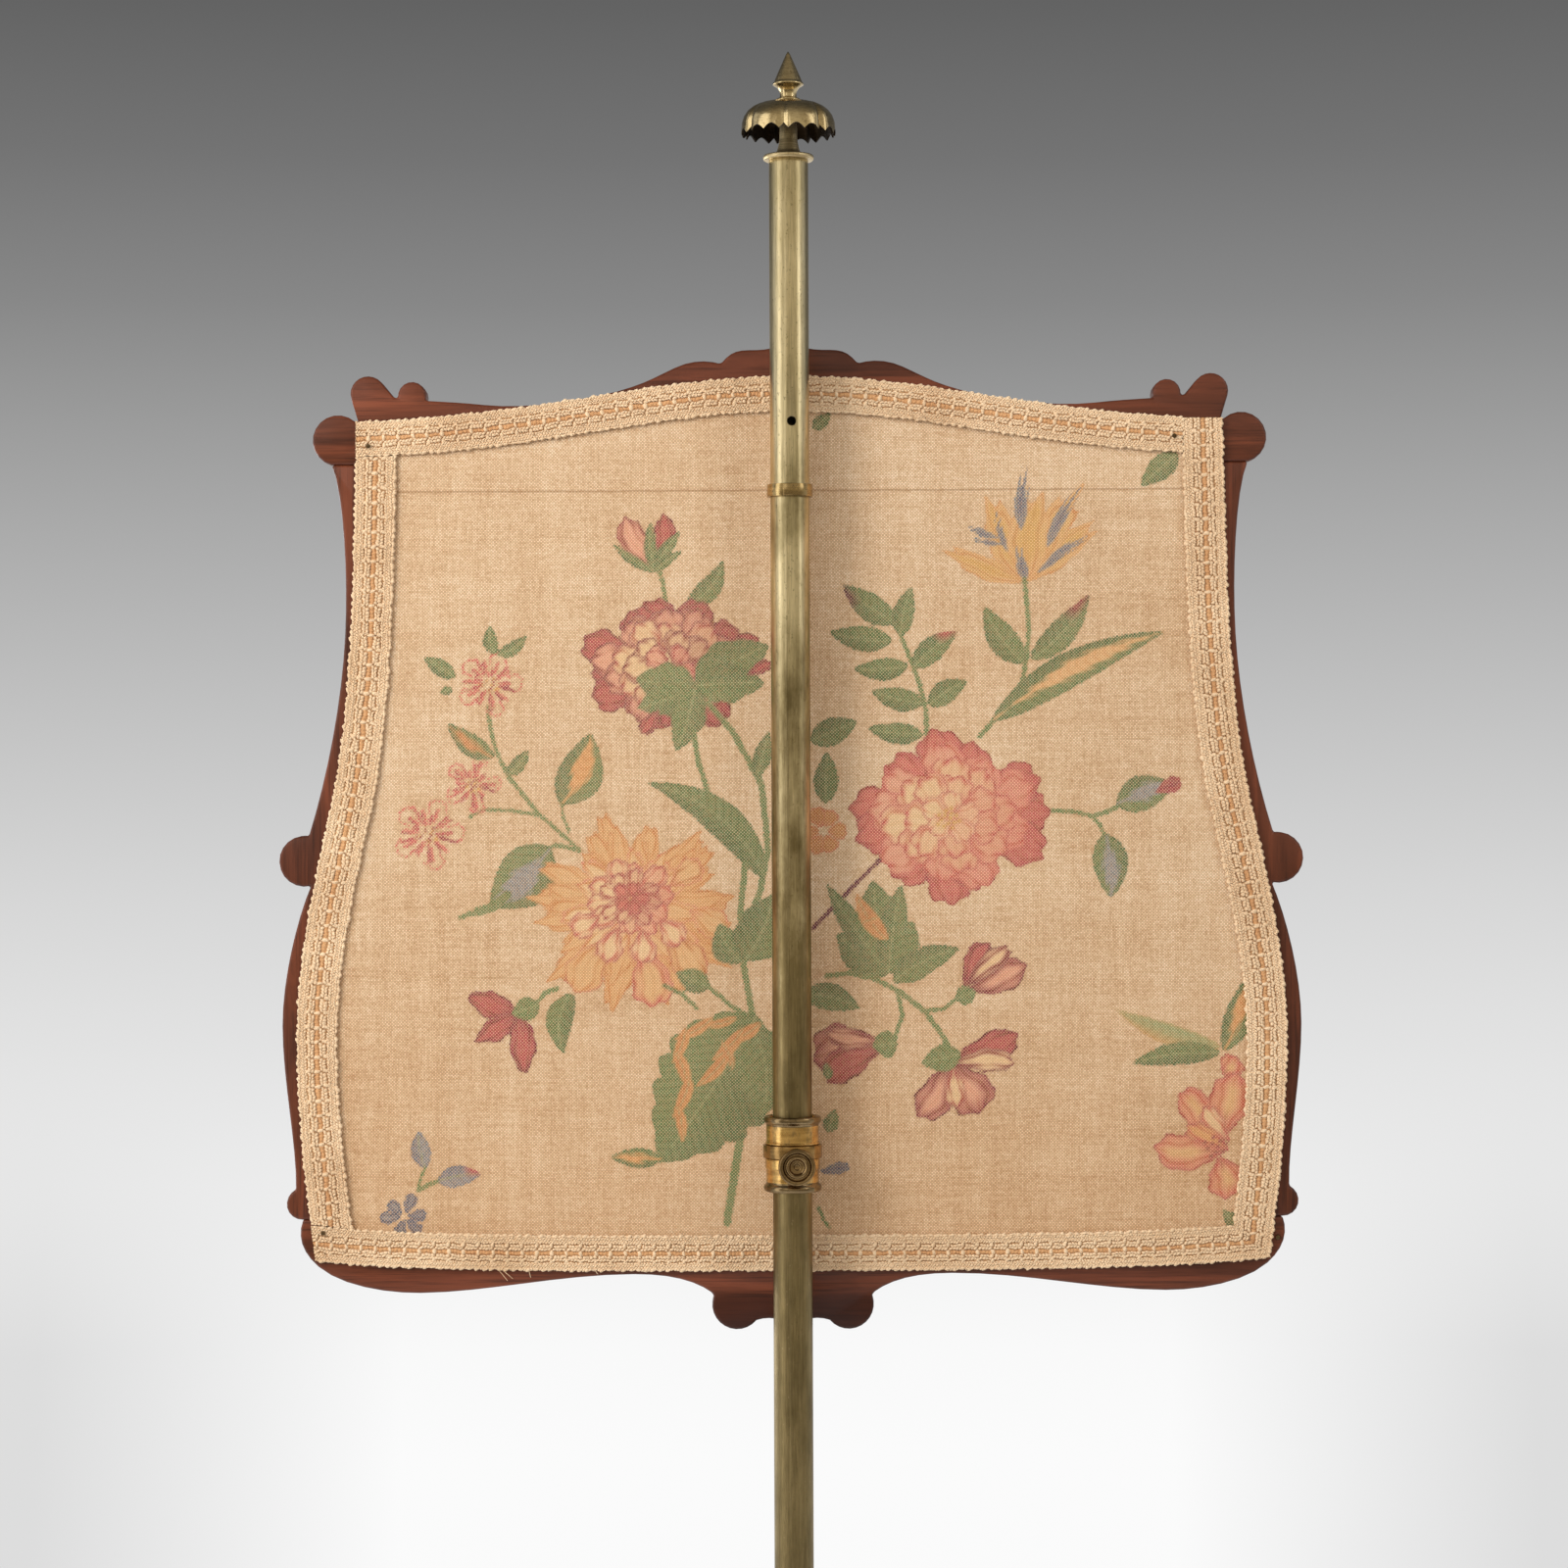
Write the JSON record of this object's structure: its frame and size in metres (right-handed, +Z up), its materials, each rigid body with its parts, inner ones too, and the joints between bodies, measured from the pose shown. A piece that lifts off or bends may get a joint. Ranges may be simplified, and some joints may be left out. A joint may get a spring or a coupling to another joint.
{
  "type": "pole screen",
  "caption": "Tripod pole screen: a shaped mahogany fire screen with a printed linen back slides, swivels and clamps on a brass pole with a scalloped finial.",
  "frame": {"origin": "on the floor, under the axis of the pole, in the middle of the three feet", "axes": "+Z up along the pole; the cloth-backed side of the screen faces -Y and its needlework side faces +Y; +X is to the right seen from -Y"},
  "size_m": [0.5028, 0.3419, 1.441],
  "materials": {
    "mahogany": "polished",
    "brass": "worn, with olive patina",
    "lacquered_brass": "gold lacquer",
    "iron": "dark",
    "pine": "bare",
    "leather": "matte",
    "needlework": "wool stitches",
    "printed_linen": "coarse weave, faded floral print",
    "braid": "looped upholstery braid"
  },
  "bodies": {
    "stand": {"column": "mahogany", "leg_back": "mahogany", "leg_right": "mahogany", "leg_left": "mahogany", "foot_back": "mahogany", "foot_right": "mahogany", "foot_left": "mahogany", "leg_plate": "iron", "plate_screws": "iron", "drop_finial": "mahogany", "pole_socket": "brass", "socket_screws": "brass", "pole": "brass", "finial_stem": "brass", "finial_crown": "brass", "finial_spire": "brass"},
    "carriage": {"collar_shell": "lacquered_brass", "collar_liner": "leather"},
    "clamp": {"clamp_shoe": "brass"},
    "screw": {"thumbscrew": "brass"},
    "screen": {"swivel_strap": "lacquered_brass", "guide_ring": "brass", "bracket_screws": "brass", "top_rail": "mahogany", "bottom_rail": "mahogany", "left_stile": "mahogany", "right_stile": "mahogany", "corner_dowels": "pine", "batten": "pine", "batten_screws": "iron", "panel_board": "pine", "needlework": "needlework", "sight_bead": "mahogany", "scroll_bosses": "mahogany", "backing_cloth": "printed_linen", "braid_top": "braid", "braid_right": "braid", "braid_bottom": "braid", "braid_left": "braid", "gimp_pins": "brass"}
  },
  "joints": [
    {"name": "screen_height", "type": "slide", "parent": "stand", "child": "carriage", "axis": [0, 0, 1], "range_m": [-0.4, 0.09]},
    {"name": "screen_swivel", "type": "hinge", "parent": "carriage", "child": "screen", "pos_m": [0, 0, 0.9084], "axis": [0, 0, 1], "range_deg": [-110, 110]},
    {"name": "clamp_press", "type": "slide", "parent": "carriage", "child": "clamp", "axis": [0.1045, -0.9945, 0], "range_m": [0, 0.0014]},
    {"name": "thumbscrew_turn", "type": "hinge", "parent": "clamp", "child": "screw", "pos_m": [0, 0, 0.9025], "axis": [0.1045, -0.9945, 0], "range_deg": [0, 720]}
  ],
  "couplings": [
    {"joint": "clamp_press", "follows": "thumbscrew_turn", "m_per_rad": 0.00011141}
  ]
}
